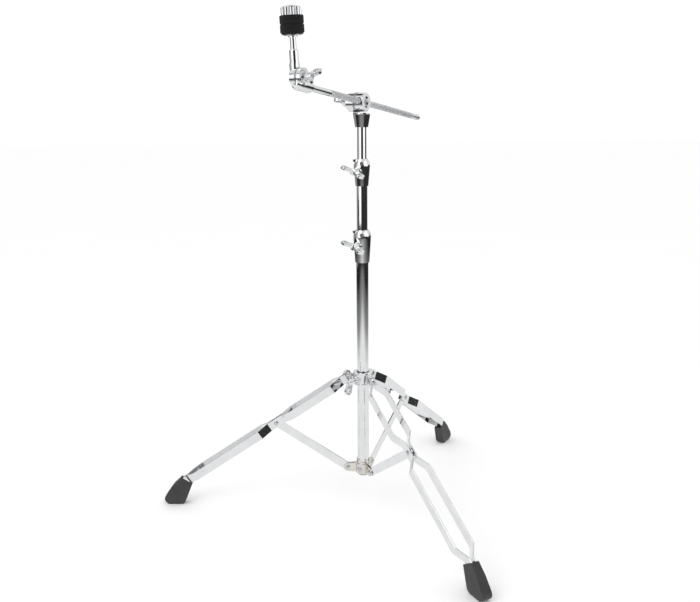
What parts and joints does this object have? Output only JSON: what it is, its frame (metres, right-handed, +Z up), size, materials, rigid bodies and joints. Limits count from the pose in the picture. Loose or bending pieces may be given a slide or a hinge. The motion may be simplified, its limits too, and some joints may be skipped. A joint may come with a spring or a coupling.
{
  "type": "boom cymbal stand",
  "caption": "Chrome boom cymbal stand: folding double-braced tripod, telescoping mast, tilting sliding boom and a felted tilting cymbal post.",
  "frame": {"origin": "on the floor, at the middle of the footprint's bounding rectangle; the mast axis stands 106.5 mm along +X from it", "axes": "+Z up along the mast; +X from the left leg towards the mast; +Y from the front of the picture towards its back; the cymbal end of the boom points to -X -Y"},
  "size_m": [0.6787, 0.7836, 1.0364],
  "materials": {
    "chrome": "polished",
    "nickel": "bright nickel plate",
    "zinc_steel": "satin",
    "foot_rubber": "moulded matt",
    "nylon": "moulded",
    "felt": "pressed wool felt"
  },
  "bodies": {
    "base": {"base_tube": "chrome", "base_tube_plug": "nylon", "bottom_bracket": "nickel", "bracket_tube_rivets": "zinc_steel", "brace_pivot_rivets": "zinc_steel", "lower_height_collar": "chrome", "lower_collar_screw": "zinc_steel"},
    "leg_collar": {"leg_collar": "chrome", "leg_collar_bush": "nylon", "leg_pivot_rivets": "zinc_steel"},
    "leg_collar_wing": {"leg_collar_wing_bolt": "chrome"},
    "lower_bush": {"lower_collar_bush": "nylon"},
    "lower_wing": {"lower_collar_wing_bolt": "chrome"},
    "middle": {"middle_tube": "chrome", "upper_height_collar": "chrome", "upper_collar_screw": "zinc_steel"},
    "upper_bush": {"upper_collar_bush": "nylon"},
    "upper_wing": {"upper_collar_wing_bolt": "chrome"},
    "upper": {"upper_tube": "chrome", "tilter_base": "chrome", "tilter_fixed_ratchet": "zinc_steel"},
    "boom_clamp": {"boom_clamp": "chrome", "tilter_moving_ratchet": "zinc_steel", "tilter_eyebolt": "zinc_steel", "tilter_lock_washer": "zinc_steel"},
    "tilter_wing": {"tilter_wing_nut": "chrome"},
    "boom_bush": {"boom_bush": "nylon"},
    "boom": {"boom_rod": "chrome", "cymbal_tilter_socket": "chrome", "cymbal_fixed_ratchet": "zinc_steel", "cymbal_tilter_bolt": "zinc_steel", "cymbal_lock_washer": "zinc_steel"},
    "cymbal_wing": {"cymbal_tilter_wing_nut": "chrome"},
    "cymbal_head": {"cymbal_moving_ratchet": "zinc_steel", "cymbal_tilter_head": "chrome", "cymbal_post": "chrome", "seat_washer": "zinc_steel", "cymbal_sleeve": "nylon", "lower_felt": "felt", "upper_felt": "felt"},
    "top_nut": {"top_nut": "chrome"},
    "left_leg": {"left_leg_bar_a": "chrome", "left_leg_bar_b": "chrome", "left_leg_rivets": "zinc_steel", "left_foot": "foot_rubber"},
    "left_brace": {"left_brace": "chrome"},
    "front_leg": {"front_leg_bar_a": "chrome", "front_leg_bar_b": "chrome", "front_leg_rivets": "zinc_steel", "front_foot": "foot_rubber"},
    "front_brace": {"front_brace": "chrome"},
    "rear_leg": {"rear_leg_bar_a": "chrome", "rear_leg_bar_b": "chrome", "rear_leg_rivets": "zinc_steel", "rear_foot": "foot_rubber"},
    "rear_brace": {"rear_brace": "chrome"}
  },
  "joints": [
    {"name": "leg_collar_slide", "type": "slide", "parent": "base", "child": "leg_collar", "axis": [0, 0, 1], "range_m": [0, 0.1623]},
    {"name": "left_leg_fold", "type": "hinge", "parent": "leg_collar", "child": "left_leg", "pos_m": [0.07252, 0, 0.296], "axis": [0, -1, 0], "range_deg": [0, 46.5]},
    {"name": "left_brace_fold", "type": "hinge", "parent": "base", "child": "left_brace", "pos_m": [0.07252, 0, 0.088], "axis": [0, 1, 0], "range_deg": [0, 46.5]},
    {"name": "front_leg_fold", "type": "hinge", "parent": "leg_collar", "child": "front_leg", "pos_m": [0.12352, -0.02944, 0.296], "axis": [0.866, 0.5, 0], "range_deg": [0, 46.5]},
    {"name": "front_brace_fold", "type": "hinge", "parent": "base", "child": "front_brace", "pos_m": [0.12352, -0.02944, 0.088], "axis": [-0.866, -0.5, 0], "range_deg": [0, 46.5]},
    {"name": "rear_leg_fold", "type": "hinge", "parent": "leg_collar", "child": "rear_leg", "pos_m": [0.12352, 0.02944, 0.296], "axis": [-0.866, 0.5, 0], "range_deg": [0, 46.5]},
    {"name": "rear_brace_fold", "type": "hinge", "parent": "base", "child": "rear_brace", "pos_m": [0.12352, 0.02944, 0.088], "axis": [0.866, -0.5, 0], "range_deg": [0, 46.5]},
    {"name": "leg_collar_wing_turn", "type": "hinge", "parent": "leg_collar", "child": "leg_collar_wing", "pos_m": [0.08338, -0.02758, 0.296], "axis": [-0.6428, -0.766, 0], "continuous": true},
    {"name": "lower_tube_turn", "type": "hinge", "parent": "base", "child": "lower_bush", "pos_m": [0.10652, 0, 0.549], "axis": [0, 0, 1], "continuous": true},
    {"name": "middle_tube_slide", "type": "slide", "parent": "lower_bush", "child": "middle", "axis": [0, 0, 1], "range_m": [-0.09, 0.25]},
    {"name": "lower_wing_turn", "type": "hinge", "parent": "base", "child": "lower_wing", "pos_m": [0.09417, -0.02139, 0.585], "axis": [-0.5, -0.866, 0], "continuous": true},
    {"name": "upper_wing_turn", "type": "hinge", "parent": "middle", "child": "upper_wing", "pos_m": [0.09497, -0.02, 0.738], "axis": [-0.5, -0.866, 0], "continuous": true},
    {"name": "upper_tube_turn", "type": "hinge", "parent": "middle", "child": "upper_bush", "pos_m": [0.10652, 0, 0.708], "axis": [0, 0, 1], "continuous": true},
    {"name": "upper_tube_slide", "type": "slide", "parent": "upper_bush", "child": "upper", "axis": [0, 0, 1], "range_m": [-0.062, 0.24]},
    {"name": "boom_tilt", "type": "hinge", "parent": "upper", "child": "boom_clamp", "pos_m": [0.10652, 0, 0.8753], "axis": [-0.8746, 0.4848, 0], "range_deg": [-45, 32]},
    {"name": "tilter_wing_turn", "type": "hinge", "parent": "boom_clamp", "child": "tilter_wing", "pos_m": [0.08291, 0.01309, 0.8753], "axis": [-0.8746, 0.4848, 0], "continuous": true},
    {"name": "boom_turn", "type": "hinge", "parent": "boom_clamp", "child": "boom_bush", "pos_m": [0.10897, -0.00136, 0.8753], "axis": [-0.4814, -0.8685, 0.1184], "continuous": true},
    {"name": "boom_slide", "type": "slide", "parent": "boom_bush", "child": "boom", "axis": [-0.4814, -0.8685, 0.1184], "range_m": [-0.125, 0.2]},
    {"name": "cymbal_tilt", "type": "hinge", "parent": "boom", "child": "cymbal_head", "pos_m": [-0.00004, -0.19802, 0.91521], "axis": [0.8746, -0.4848, 0], "range_deg": [-45, 55]},
    {"name": "cymbal_wing_turn", "type": "hinge", "parent": "boom", "child": "cymbal_wing", "pos_m": [0.01308, -0.20529, 0.91521], "axis": [0.8746, -0.4848, 0], "continuous": true},
    {"name": "top_nut_turn", "type": "hinge", "parent": "cymbal_head", "child": "top_nut", "pos_m": [-0.01287, -0.20157, 1.0218], "axis": [-0.0423, -0.0762, 0.9962], "continuous": true}
  ],
  "couplings": [
    {"joint": "left_leg_fold", "follows": "leg_collar_slide", "rad_per_m": 4.991},
    {"joint": "left_brace_fold", "follows": "leg_collar_slide", "rad_per_m": 4.991},
    {"joint": "front_leg_fold", "follows": "leg_collar_slide", "rad_per_m": 4.991},
    {"joint": "front_brace_fold", "follows": "leg_collar_slide", "rad_per_m": 4.991},
    {"joint": "rear_leg_fold", "follows": "leg_collar_slide", "rad_per_m": 4.991},
    {"joint": "rear_brace_fold", "follows": "leg_collar_slide", "rad_per_m": 4.991}
  ]
}
